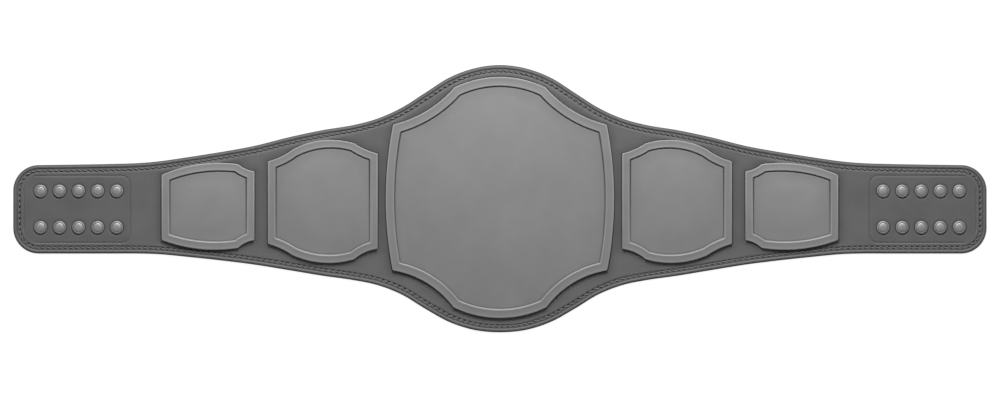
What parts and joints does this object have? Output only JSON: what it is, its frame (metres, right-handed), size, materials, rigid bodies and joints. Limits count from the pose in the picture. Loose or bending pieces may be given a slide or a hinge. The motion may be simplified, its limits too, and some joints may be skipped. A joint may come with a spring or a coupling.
{
  "type": "championship title belt",
  "caption": "Championship title belt lying flat: a shaped, stitched leather strap carrying a large main plate, smaller side plates and snap fasteners at both ends.",
  "frame": {"origin": "middle of the belt's length and width, on the back of the leather strap", "axes": "+X along the belt to its right end as seen from the front, +Y towards its upper edge, +Z out of the plates"},
  "size_m": [1.2972, 0.356, 0.0073],
  "materials": {
    "leather": "smooth grained leather, satin, grey",
    "plate_metal": "cast metal with a matt, faintly clouded grey surface",
    "snap_metal": "satin plated snap fastener",
    "screw_metal": "plain plated screw",
    "thread": "waxed stitching thread"
  },
  "bodies": {
    "root": {"strap": "leather", "main_plate": "plate_metal", "plate_screw_main_1": "screw_metal", "plate_screw_main_2": "screw_metal", "plate_screw_main_3": "screw_metal", "plate_screw_main_4": "screw_metal", "inner_plate_left": "plate_metal", "plate_screw_inner_left_1": "screw_metal", "plate_screw_inner_left_2": "screw_metal", "outer_plate_left": "plate_metal", "plate_screw_outer_left_1": "screw_metal", "plate_screw_outer_left_2": "screw_metal", "inner_plate_right": "plate_metal", "plate_screw_inner_right_1": "screw_metal", "plate_screw_inner_right_2": "screw_metal", "outer_plate_right": "plate_metal", "plate_screw_outer_right_1": "screw_metal", "plate_screw_outer_right_2": "screw_metal", "snap_left_upper_1": "snap_metal", "snap_back_left_upper_1": "snap_metal", "snap_left_upper_2": "snap_metal", "snap_back_left_upper_2": "snap_metal", "snap_left_upper_3": "snap_metal", "snap_back_left_upper_3": "snap_metal", "snap_left_upper_4": "snap_metal", "snap_back_left_upper_4": "snap_metal", "snap_left_upper_5": "snap_metal", "snap_back_left_upper_5": "snap_metal", "snap_left_lower_1": "snap_metal", "snap_back_left_lower_1": "snap_metal", "snap_left_lower_2": "snap_metal", "snap_back_left_lower_2": "snap_metal", "snap_left_lower_3": "snap_metal", "snap_back_left_lower_3": "snap_metal", "snap_left_lower_4": "snap_metal", "snap_back_left_lower_4": "snap_metal", "snap_left_lower_5": "snap_metal", "snap_back_left_lower_5": "snap_metal", "snap_right_upper_1": "snap_metal", "snap_back_right_upper_1": "snap_metal", "snap_right_upper_2": "snap_metal", "snap_back_right_upper_2": "snap_metal", "snap_right_upper_3": "snap_metal", "snap_back_right_upper_3": "snap_metal", "snap_right_upper_4": "snap_metal", "snap_back_right_upper_4": "snap_metal", "snap_right_upper_5": "snap_metal", "snap_back_right_upper_5": "snap_metal", "snap_right_lower_1": "snap_metal", "snap_back_right_lower_1": "snap_metal", "snap_right_lower_2": "snap_metal", "snap_back_right_lower_2": "snap_metal", "snap_right_lower_3": "snap_metal", "snap_back_right_lower_3": "snap_metal", "snap_right_lower_4": "snap_metal", "snap_back_right_lower_4": "snap_metal", "snap_right_lower_5": "snap_metal", "snap_back_right_lower_5": "snap_metal"}
  },
  "joints": []
}
